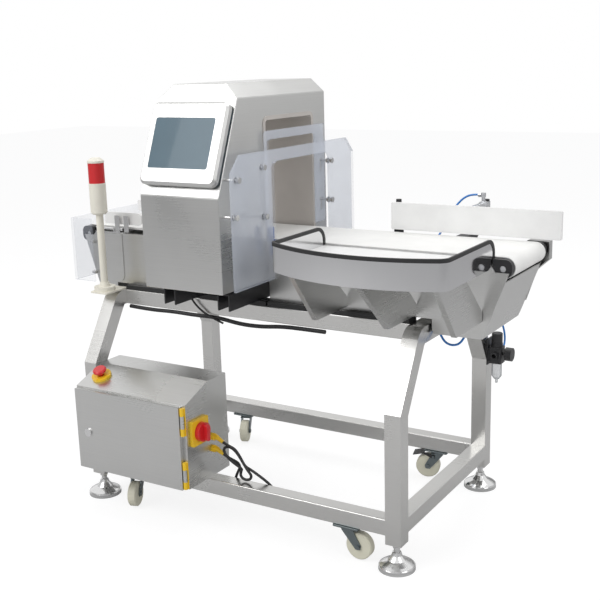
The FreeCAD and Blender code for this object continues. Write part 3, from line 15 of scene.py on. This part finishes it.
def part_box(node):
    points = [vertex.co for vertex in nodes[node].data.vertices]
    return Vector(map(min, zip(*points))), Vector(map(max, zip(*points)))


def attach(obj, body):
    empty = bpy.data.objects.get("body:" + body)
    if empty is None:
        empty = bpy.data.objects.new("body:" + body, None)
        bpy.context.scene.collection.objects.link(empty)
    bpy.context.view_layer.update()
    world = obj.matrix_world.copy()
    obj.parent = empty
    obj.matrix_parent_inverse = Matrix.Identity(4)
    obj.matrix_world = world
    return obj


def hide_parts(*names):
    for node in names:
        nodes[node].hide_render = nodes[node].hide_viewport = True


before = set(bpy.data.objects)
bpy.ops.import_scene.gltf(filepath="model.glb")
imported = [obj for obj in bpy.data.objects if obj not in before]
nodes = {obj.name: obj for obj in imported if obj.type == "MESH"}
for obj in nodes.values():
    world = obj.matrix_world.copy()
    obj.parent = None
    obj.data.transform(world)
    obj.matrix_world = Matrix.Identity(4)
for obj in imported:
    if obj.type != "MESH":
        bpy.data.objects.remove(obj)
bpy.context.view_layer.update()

# %% [markdown]
# Every size below is in millimetres from the middle of the stand, because that is how the machine
# is drawn.  One small function turns such a place into metres in the shared frame, and the middle
# of the stand is read from the four feet, so nothing drifts if the frame moves.

# %% Places on the machine
MM = 0.001
feet_low, feet_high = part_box("levelling_feet")
STAND = Vector(((feet_low.x + feet_high.x) / 2, (feet_low.y + feet_high.y) / 2, 0))


def at(x, y, z):
    return STAND + Vector((x, y, z)) * MM


print("stand centre", [round(c, 4) for c in STAND])

# %% [markdown]
# The camera stands in front of the outfeed end, a little above the head, and looks down along the
# machine.  A long lens keeps the uprights nearly parallel.  The direction is built from a turn, a
# dip and a slight roll, because those are the three things one sets on a tripod.

# %% Camera
CAMERA_AT = at(1552.9, -2439.5, 1302.3)
FOCAL_LENGTH, SENSOR_WIDTH = 60.06, 36
TURN, DIP, ROLL = math.radians(31.65), math.radians(13.58), math.radians(-1.63)
forward = Vector((-math.sin(TURN) * math.cos(DIP), math.cos(TURN) * math.cos(DIP), -math.sin(DIP)))
level = Vector((math.cos(TURN), math.sin(TURN), 0))
upright = level.cross(forward)
right = level * math.cos(ROLL) + upright * math.sin(ROLL)
above = upright * math.cos(ROLL) - level * math.sin(ROLL)
camera = bpy.data.objects.new("camera", bpy.data.cameras.new("camera"))
camera.data.lens, camera.data.sensor_width = FOCAL_LENGTH, SENSOR_WIDTH
camera.data.clip_end = 30
camera.matrix_world = Matrix((right, above, -forward)).transposed().to_4x4()
camera.location = CAMERA_AT
bpy.context.scene.collection.objects.link(camera)
bpy.context.scene.camera = camera
print("camera", [round(c, 3) for c in camera.location])

# %% [markdown]
# Materials are built from nodes.  One short helper makes a node and sets or wires its inputs, one
# starts a node group, and one makes a colour ramp.  That keeps each recipe down to what matters.

# %% Node helpers


def add(tree, kind, inputs=None, **settings):
    node = tree.nodes.new(kind)
    for name, value in settings.items():
        setattr(node, name, value)
    for name, value in (inputs or {}).items():
        socket = node.inputs[name]
        if isinstance(value, bpy.types.NodeSocket):
            tree.links.new(value, socket)
        else:
            socket.default_value = value
    return node


def group(name, inputs, outputs):
    tree = bpy.data.node_groups.new(name, "ShaderNodeTree")
    for label, kind, value in inputs:
        socket = tree.interface.new_socket(name=label, in_out="INPUT", socket_type=kind)
        if value is not None:
            socket.default_value = value
    for label, kind in outputs:
        tree.interface.new_socket(name=label, in_out="OUTPUT", socket_type=kind)
    return tree, add(tree, "NodeGroupInput"), add(tree, "NodeGroupOutput")


def ramp(tree, factor, stops):
    node = add(tree, "ShaderNodeValToRGB", {"Fac": factor})
    line = node.color_ramp
    while len(line.elements) < len(stops):
        line.elements.new(0.5)
    for element, (place, shade) in zip(line.elements, stops):
        element.position = place
        element.color = (*shade, 1) if isinstance(shade, tuple) else (shade, shade, shade, 1)
    return node.outputs["Color"]


# %% [markdown]
# Brushed sheet has fine scratches that all run one way.  Noise stretched along the brushing
# direction gives the scratches.  A second, broad noise is painted reflection: soft lighter and
# darker patches put into the colour in place of the studio mirrored in the steel.  The group takes
# how long and how fine the scratches are and how strong the painted reflection is, so the cabinet,
# the tubes and the trays can each have their own.

# %% Brushed grain group
FLOAT, VECTOR = "NodeSocketFloat", "NodeSocketVector"
grain, g_in, g_out = group(
    "brushed_grain",
    [("Along", VECTOR, (3, 3, 420)), ("Contrast", FLOAT, 0.12), ("Clouds", FLOAT, 0.1)],
    [("Tone", FLOAT), ("Rough", FLOAT), ("Height", FLOAT)])
place = add(grain, "ShaderNodeTexCoord").outputs["Object"]
stretched = add(grain, "ShaderNodeVectorMath", {0: place, 1: g_in.outputs["Along"]}, operation="MULTIPLY")
lines = add(grain, "ShaderNodeTexNoise",
            {"Vector": stretched.outputs[0], "Scale": 1, "Detail": 4, "Roughness": 0.7})
# This broad noise is painted reflection: soft lighter and darker patches in the steel's colour.
painted_sheen = add(grain, "ShaderNodeTexNoise", {"Vector": place, "Scale": 3.2, "Detail": 3, "Roughness": 0.5})
fine = add(grain, "ShaderNodeMath", {0: lines.outputs["Fac"], 1: 0.5}, operation="SUBTRACT")
slow = add(grain, "ShaderNodeMath", {0: painted_sheen.outputs["Fac"], 1: 0.5}, operation="SUBTRACT")
fine_part = add(grain, "ShaderNodeMath", {0: fine.outputs[0], 1: g_in.outputs["Contrast"], 2: 1.0},
                operation="MULTIPLY_ADD")
# The tone is the fine scratches plus the painted reflection patches; the same patches also vary the roughness.
tone = add(grain, "ShaderNodeMath", {0: slow.outputs[0], 1: g_in.outputs["Clouds"], 2: fine_part.outputs[0]},
           operation="MULTIPLY_ADD")
rough = add(grain, "ShaderNodeMath", {0: fine.outputs[0], 1: 0.25, 2: slow.outputs[0]}, operation="MULTIPLY_ADD")
grain.links.new(tone.outputs[0], g_out.inputs["Tone"])
grain.links.new(rough.outputs[0], g_out.inputs["Rough"])
grain.links.new(lines.outputs["Fac"], g_out.inputs["Height"])

# %% [markdown]
# Plastic, paint and rubber share a second group: a very fine moulded texture, a slow change of
# tone, and dust that settles on faces that look up.

# %% Moulded surface group
mould, m_in, m_out = group(
    "moulded_surface", [("Scale", FLOAT, 900.0), ("Dust", FLOAT, 0.15)],
    [("Tone", FLOAT), ("Dust", FLOAT), ("Height", FLOAT)])
place = add(mould, "ShaderNodeTexCoord").outputs["Object"]
pores = add(mould, "ShaderNodeTexNoise", {"Vector": place, "Scale": m_in.outputs["Scale"], "Detail": 2})
patches = add(mould, "ShaderNodeTexNoise", {"Vector": place, "Scale": 14.0, "Detail": 4})
facing = add(mould, "ShaderNodeSeparateXYZ", {0: add(mould, "ShaderNodeNewGeometry").outputs["Normal"]})
upward = add(mould, "ShaderNodeMapRange", {"Value": facing.outputs["Z"], "From Min": 0.3, "From Max": 1.0})
dusty = add(mould, "ShaderNodeMath", {0: upward.outputs[0], 1: patches.outputs["Fac"]}, operation="MULTIPLY")
dust = add(mould, "ShaderNodeMath", {0: dusty.outputs[0], 1: m_in.outputs["Dust"]}, operation="MULTIPLY")
shade = add(mould, "ShaderNodeMapRange", {"Value": patches.outputs["Fac"], "To Min": 0.9, "To Max": 1.08})
mould.links.new(shade.outputs[0], m_out.inputs["Tone"])
mould.links.new(dust.outputs[0], m_out.inputs["Dust"])
mould.links.new(pores.outputs["Fac"], m_out.inputs["Height"])

# %% [markdown]
# Two recipes use the groups.  Steel is fully metallic, so its colour is the colour of what it
# mirrors; the grain changes how sharply it does so, and its scratches and painted reflection
# patches lighten and darken that colour.  Plastic keeps its own colour.

# %% Material recipes


def blank(name):
    material = bpy.data.materials.new(name)
    material.use_nodes = True
    tree = material.node_tree
    shader = tree.nodes["Principled BSDF"]
    return material, tree, shader


def scaled(tree, colour, factor):
    return add(tree, "ShaderNodeVectorMath", {0: colour, "Scale": factor}, operation="SCALE").outputs[0]


def steel(name, colour, rough=0.3, along=(3, 3, 420), contrast=0.14, painted_sheen=0.16, metallic=1.0):
    material, tree, shader = blank(name)
    part = add(tree, "ShaderNodeGroup", {}, node_tree=grain)
    part.inputs["Along"].default_value = along
    part.inputs["Contrast"].default_value = contrast
    part.inputs["Clouds"].default_value = painted_sheen
    # The tone, scratches plus painted reflection patches, scales the base colour.
    tree.links.new(scaled(tree, colour, part.outputs["Tone"]), shader.inputs["Base Color"])
    level = add(tree, "ShaderNodeMath", {0: part.outputs["Rough"], 1: 0.35, 2: rough}, operation="MULTIPLY_ADD")
    tree.links.new(level.outputs[0], shader.inputs["Roughness"])
    bump = add(tree, "ShaderNodeBump", {"Height": part.outputs["Height"], "Distance": 0.00004, "Strength": 0.35})
    tree.links.new(bump.outputs[0], shader.inputs["Normal"])
    shader.inputs["Metallic"].default_value = metallic
    return material


def plastic(name, colour, rough=0.4, scale=900.0, dust=0.12, coat=0.0, bump=0.00003):
    material, tree, shader = blank(name)
    part = add(tree, "ShaderNodeGroup", {}, node_tree=mould)
    part.inputs["Scale"].default_value = scale
    part.inputs["Dust"].default_value = dust
    toned = scaled(tree, colour, part.outputs["Tone"])
    mixed = add(tree, "ShaderNodeMix", {0: part.outputs["Dust"], 6: toned, 7: (0.5, 0.49, 0.46, 1)},
                data_type="RGBA")
    tree.links.new(mixed.outputs[2], shader.inputs["Base Color"])
    level = add(tree, "ShaderNodeMath", {0: part.outputs["Dust"], 1: 0.6, 2: rough}, operation="MULTIPLY_ADD")
    tree.links.new(level.outputs[0], shader.inputs["Roughness"])
    grainy = add(tree, "ShaderNodeBump", {"Height": part.outputs["Height"], "Distance": bump, "Strength": 0.4})
    tree.links.new(grainy.outputs[0], shader.inputs["Normal"])
    shader.inputs["Coat Weight"].default_value = coat
    return material


# %% Finishes
# Every steel finish carries the grain group's painted reflection patches in its colour.
ACROSS, UPRIGHT, LONG = (3, 3, 420), (260, 260, 2), (2, 300, 300)
finish = {
    "sheet": steel("brushed_sheet", (0.62, 0.62, 0.61), 0.3, ACROSS),
    "tube": steel("satin_tube", (0.66, 0.655, 0.64), 0.28, LONG, 0.1),
    "mirror": steel("polished_wall", (0.72, 0.72, 0.73), 0.1, (40, 40, 3), 0.05),
    "bright": steel("bright_fittings", (0.72, 0.72, 0.72), 0.16, ACROSS, 0.04),
    "zinc": steel("grey_zinc", (0.2, 0.23, 0.24), 0.32, ACROSS, 0.1, 0.3),
    "alloy": steel("satin_alloy", (0.72, 0.73, 0.75), 0.3, (300, 300, 300), 0.06),
    "copper": steel("copper_winding", (0.72, 0.36, 0.18), 0.35, (500, 3, 3), 0.3),
    "white": plastic("white_plastic", (0.86, 0.86, 0.85), 0.4, 600, 0.04),
    "belt": plastic("belt_cover", (0.86, 0.86, 0.84), 0.5, 1800, 0.05),
    "liner": plastic("tunnel_lining", (0.5, 0.47, 0.44), 0.45, 500, 0.05),
    "cream": plastic("cream_nylon", (0.76, 0.74, 0.6), 0.42, 500, 0.05),
    "tower": plastic("cream_casing", (0.85, 0.82, 0.72), 0.45, 700, 0.03),
    "black": plastic("black_plastic", (0.02, 0.02, 0.022), 0.4, 1200, 0.06),
    "rubber": plastic("black_rubber", (0.016, 0.016, 0.017), 0.55, 1500, 0.08),
    "motor": plastic("grey_paint", (0.3, 0.33, 0.35), 0.42, 500, 0.12),
    "yellow": plastic("yellow_plastic", (0.9, 0.58, 0.02), 0.32, 900, 0.02),
    "red": plastic("red_plastic", (0.66, 0.015, 0.02), 0.28, 900, 0.02, 0.3),
    "blue": plastic("blue_tube", (0.02, 0.2, 0.6), 0.3, 900, 0.02, 0.2),
    "sensor": plastic("blue_casing", (0.03, 0.1, 0.35), 0.4, 900, 0.05),
    "panel": plastic("teal_panel", (0.05, 0.11, 0.15), 0.3, 900, 0.02, 0.3),
}
print("finishes", len(finish))

# %% [markdown]
# Clear guards are acrylic plate: almost invisible from the front, with edges that gather light.
# A thin film shader does this cheaply.  Fresnel decides how much of the plate is gloss and how
# much is see-through, and the tint is slightly blue, as thick clear plate is.

# %% Clear plate and clear bowl


def clear(name, tint, haze):
    material, tree, shader = blank(name)
    part = add(tree, "ShaderNodeGroup", {}, node_tree=mould)
    part.inputs["Scale"].default_value = 200.0
    toned = scaled(tree, tint, part.outputs["Tone"])
    tree.links.new(toned, shader.inputs["Base Color"])
    gloss = add(tree, "ShaderNodeFresnel", {"IOR": 1.25})
    body = add(tree, "ShaderNodeMath", {0: gloss.outputs[0], 1: 0.5, 2: haze}, operation="MULTIPLY_ADD")
    smear = add(tree, "ShaderNodeMath", {0: part.outputs["Dust"], 1: 0.5, 2: body.outputs[0]},
                operation="MULTIPLY_ADD")
    tree.links.new(smear.outputs[0], shader.inputs["Alpha"])
    shader.inputs["Roughness"].default_value = 0.08
    return material


finish["clear"] = clear("clear_plate", (0.72, 0.76, 0.84), 0.1)
finish["bowl"] = clear("clear_bowl", (0.6, 0.62, 0.64), 0.45)

# %% [markdown]
# The floor is a very large pale sheet.  Seen straight from the camera it gives off most of its
# own light, so it reads as a white background, and the small rest still takes the machine's
# shadow.  Mirrored in steel it is the same pale floor.  The world does the same job above it,
# with softer, darker bands low down that give the steel something to mirror.

# %% Floor, world and lamps
floor_mesh = bpy.data.meshes.new("floor")
REACH = 14.0
FLOOR_GLOW, FLOOR_REST, FLOOR_MIRRORED = 0.82, 0.24, 0.6
floor_corners = [(-REACH, -REACH, 0), (REACH, -REACH, 0), (REACH, REACH, 0), (-REACH, REACH, 0)]
floor_mesh.from_pydata(floor_corners, [], [(0, 1, 2, 3)])
floor = bpy.data.objects.new("floor", floor_mesh)
bpy.context.scene.collection.objects.link(floor)
material, tree, shader = blank("studio_floor")
seen = add(tree, "ShaderNodeLightPath")
shine = add(tree, "ShaderNodeMath", {0: seen.outputs["Is Camera Ray"], 1: seen.outputs["Is Transmission Ray"]},
            operation="MAXIMUM")
shader.inputs["Base Color"].default_value = (FLOOR_MIRRORED, FLOOR_MIRRORED, FLOOR_MIRRORED, 1)
shader.inputs["Roughness"].default_value = 0.9
shader.inputs["Specular IOR Level"].default_value = 0
glow = add(tree, "ShaderNodeEmission", {"Color": (1, 1, 1, 1), "Strength": FLOOR_GLOW})
pale = add(tree, "ShaderNodeBsdfDiffuse", {"Color": (FLOOR_REST, FLOOR_REST, FLOOR_REST, 1)})
both = add(tree, "ShaderNodeAddShader", {0: glow.outputs[0], 1: pale.outputs[0]})
mixed = add(tree, "ShaderNodeMixShader", {0: shine.outputs[0], 1: shader.outputs[0], 2: both.outputs[0]})
tree.links.new(mixed.outputs[0], tree.nodes["Material Output"].inputs["Surface"])
floor_mesh.materials.append(material)

world = bpy.context.scene.world or bpy.data.worlds.new("studio")
bpy.context.scene.world = world
world.use_nodes = True
sky = world.node_tree
sky.nodes.clear()
path = add(sky, "ShaderNodeLightPath")
way = add(sky, "ShaderNodeSeparateXYZ", {0: add(sky, "ShaderNodeTexCoord").outputs["Generated"]})
around = add(sky, "ShaderNodeMath", {0: way.outputs["Y"], 1: way.outputs["X"]}, operation="ARCTAN2")
bands = add(sky, "ShaderNodeMath", {0: around.outputs[0], 1: 3.0}, operation="MULTIPLY")
wave = add(sky, "ShaderNodeMath", {0: bands.outputs[0]}, operation="SINE")
room = ramp(sky, add(sky, "ShaderNodeMapRange", {"Value": wave.outputs[0], "From Min": -1}).outputs[0],
            [(0.0, 0.28), (0.35, 0.55), (0.6, 0.95), (1.0, 1.0)])
height = add(sky, "ShaderNodeMapRange", {"Value": way.outputs["Z"], "From Min": 0.25, "From Max": 0.6})
mirrored = add(sky, "ShaderNodeMix", {0: height.outputs[0], 6: room, 7: (1, 1, 1, 1)}, data_type="RGBA")
plain = add(sky, "ShaderNodeMix", {0: path.outputs["Is Glossy Ray"], 6: (0.62, 0.62, 0.63, 1),
                                   7: mirrored.outputs[2]}, data_type="RGBA")
direct = add(sky, "ShaderNodeMath", {0: path.outputs["Is Camera Ray"], 1: path.outputs["Is Transmission Ray"]},
             operation="MAXIMUM")
whole = add(sky, "ShaderNodeMix", {0: direct.outputs[0], 6: plain.outputs[2], 7: (1, 1, 1, 1)}, data_type="RGBA")
lit = add(sky, "ShaderNodeBackground", {"Color": whole.outputs[2], "Strength": 1.0})
add(sky, "ShaderNodeOutputWorld", {"Surface": lit.outputs[0]})

# each lamp: name, place and aim in millimetres, width in metres, power in watts
for name, where, aim, size, power in (("key", (-1500, -3200, 3200), (0, 0, 700), 2.4, 62),
                                      ("side", (3600, -900, 2200), (100, 0, 800), 2.0, 28),
                                      ("top", (200, 900, 3800), (0, 0, 900), 2.6, 40)):
    lamp = bpy.data.lights.new(name, "AREA")
    lamp.size, lamp.energy = size, power
    holder = bpy.data.objects.new(name, lamp)
    holder.location = at(*where)
    holder.rotation_euler = (at(*aim) - at(*where)).to_track_quat("-Z", "Y").to_euler()
    bpy.context.scene.collection.objects.link(holder)
bpy.context.scene.view_settings.view_transform = "Standard"
print("floor, world and three lamps")

# %% [markdown]
# Cables and hoses are curves with a round bevel.  Each is one NURBS line through the same places
# as the tube in the frame, so it bends smoothly where the tube has arcs.  The line is given its
# order after its points, because Blender lowers the order of a line that has none.

# %% Cord helper


def cable(name, points, diameter, material, body="stand"):
    line = bpy.data.curves.new(name, "CURVE")
    line.dimensions = "3D"
    line.bevel_depth, line.bevel_resolution, line.resolution_u = diameter * MM / 2, 4, 10
    line.use_fill_caps = True
    spline = line.splines.new("NURBS")
    spline.points.add(len(points) - 1)
    for knot, (x, y, z) in zip(spline.points, points):
        knot.co = (*at(x, y, z), 1)
    spline.order_u = 3
    spline.use_endpoint_u = True
    line.materials.append(material)
    cord = bpy.data.objects.new(name, line)
    bpy.context.scene.collection.objects.link(cord)
    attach(cord, body)
    length = sum((Vector(b) - Vector(a)).length for a, b in zip(smooth(points), smooth(points)[1:])) * MM
    print("%s: %.3f m" % (name, length))
    return cord, length


def smooth(points):
    """The places that a quadratic line touches: its ends and the middles of its runs."""
    middles = [[(a + b) / 2 for a, b in zip(p, q)] for p, q in zip(points[1:-1], points[2:-1])]
    return [points[0]] + middles + [points[-1]]


# %% [markdown]
# The supply lead leaves the upper gland of the cabinet.  What is not needed is folded into a short
# hank, tied near its lower end, and the tail goes over the lower rail and down behind it.  The
# hank's own places are counted down its middle line, sideways to the rear, and up to the right.

# %% Supply lead with its hank
HANK_TOP, HANK_TIE = Vector((-30, -284, 233)), Vector((24, -287, 184))
down = (HANK_TIE - HANK_TOP).normalized()
side = Vector((0.67, 0, 0.74))
flare, flare_side = Vector((0.23, 0.1, -0.97)), Vector((0.97, 0, 0.2))
TIE_AT = 73


def hank(rear, up, along):
    if along <= TIE_AT:
        place = HANK_TOP + down * along + side * up
    else:
        place = HANK_TIE + flare * (along - TIE_AT) + flare_side * up
    return tuple(place + Vector((0, rear, 0)))


folded = [hank(0, 17, 16), hank(-1, 16, 40), hank(0, 7, 72), hank(-1, 13, 84), hank(-1, 20, 98),
          hank(-1, 10, 110), hank(-1, -10, 110), hank(-1, -20, 98), hank(-1, -13, 84), hank(0, -7, 72),
          hank(-7, -12, 44), hank(-17, -8, 24), hank(-18, -6, 6), hank(-9, -6, -6), hank(9, -6, -6),
          hank(18, -4, 6), hank(17, 0, 26), hank(12, 1, 50), hank(8, 0, 73)]
lead = [(-45.6, -284, 246.8), (-31, -284, 240)] + folded
lead += [(42, -277, 177), (60, -275, 167), (78, -271, 155), (93, -264, 140), (101, -256, 124), (104, -252, 106)]
LEAD_THICK = 8
supply, supply_long = cable("supply_lead", lead, LEAD_THICK, finish["rubber"])
second = [(-45.6, -284, 210.8), (-31, -284, 204), (-16, -282, 198), (-3, -276, 190), (-1, -269, 176),
          (-9, -265, 162), (-19, -262, 146), (-27, -260, 126), (-30, -258, 104)]
signal, signal_long = cable("signal_lead", second, LEAD_THICK, finish["rubber"])
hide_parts("cable_hank", "cabinet_cables")

# %% [markdown]
# The harness is tied under the front rail for its whole way, with a thin branch that comes down
# from the head.  The blue hoses are stiffer and run in wide curves.

# %% Harness and hoses
harness_places = [(-470, -155, 573), (-391, -154, 569), (-305, -155, 573), (-220, -153, 570), (-140, -155, 573),
                  (-62, -153, 561), (12, -155, 562), (82, -152, 570), (150, -155, 572), (222, -153, 571)]
branch_places = [(-229, -158, 697), (-230, -165, 672), (-229, -171, 646), (-215, -172, 618), (-186, -171, 592),
                 (-150, -166, 572), (-118, -158, 558)]
drain_places = [(536, -100, 598.5), (546, -100, 573), (572, -100, 562), (599, -99, 573), (609, -98, 598.5)]
supply_places = [(552, 316.8, 432), (552, 346, 436), (550, 364, 460), (547, 360, 492), (544, 338, 526),
                 (541, 304, 560), (538, 266, 590), (535, 232, 624), (533, 196, 650), (532, 153, 662)]
feed_places = [(478, 329.5, 898.5), (455, 328.5, 899), (432, 324, 891), (413, 316, 872), (400, 304, 848),
               (393, 287, 824), (390, 262, 803), (389, 230, 787), (389, 196, 777), (389, 152.5, 772)]
harness, harness_long = cable("harness", harness_places, 12, finish["rubber"])
branch, branch_long = cable("branch_cable", branch_places, 6, finish["rubber"])
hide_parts("cable_harness")
for name, places in (("drain_hose", drain_places), ("supply_hose", supply_places), ("cylinder_hose", feed_places)):
    hose, hose_long = cable(name, places, 6, finish["blue"])
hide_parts("air_hoses")

# %% [markdown]
# Every solid that keeps its own shape now gets its finish.  A node's mesh stays as it is; only
# its material slot is filled.

# %% Finish the solids
dress = {
    "sheet": ("conveyor_side_plates", "conveyor_covers", "drive_guard", "head_shell", "display_housing",
              "tray_struts", "cabinet_body", "cabinet_door"),
    "tube": ("stand_frame",), "mirror": ("tray_wall",),
    "bright": ("levelling_feet", "guard_hardware", "door_lock"),
    "zinc": ("caster_plates", "caster_fork_1", "caster_fork_2", "caster_fork_3", "caster_fork_4"),
    "alloy": ("drive_roller", "tail_roller", "motor_pulley", "reject_cylinder", "cylinder_rod", "control_gear"),
    "copper": ("detection_coils",), "belt": ("belt",), "liner": ("tunnel_liner",),
    "white": ("slider_bed", "infeed_guides", "tray_floor", "reject_board"),
    "cream": ("caster_wheel_1", "caster_wheel_2", "caster_wheel_3", "caster_wheel_4"),
    "tower": ("tower_mast",), "motor": ("drive_motor",), "yellow": ("cabinet_fittings",),
    "black": ("caster_brake", "bearing_blocks", "head_supports", "reject_mount", "regulator_body",
              "regulator_knob"),
    "rubber": ("rubber_mounts", "tray_trim", "drive_belt"),
    "red": ("stop_button", "switch_knob", "tower_lens"), "sensor": ("product_sensor",),
    "panel": ("display_panel",), "clear": ("infeed_guard", "outfeed_guard", "tunnel_baffle"),
    "bowl": ("regulator_bowl",),
}
for surface, members in dress.items():
    for member in members:
        mesh = nodes[member].data
        mesh.materials.clear()
        mesh.materials.append(finish[surface])
print("dressed", sum(len(members) for members in dress.values()), "solids")
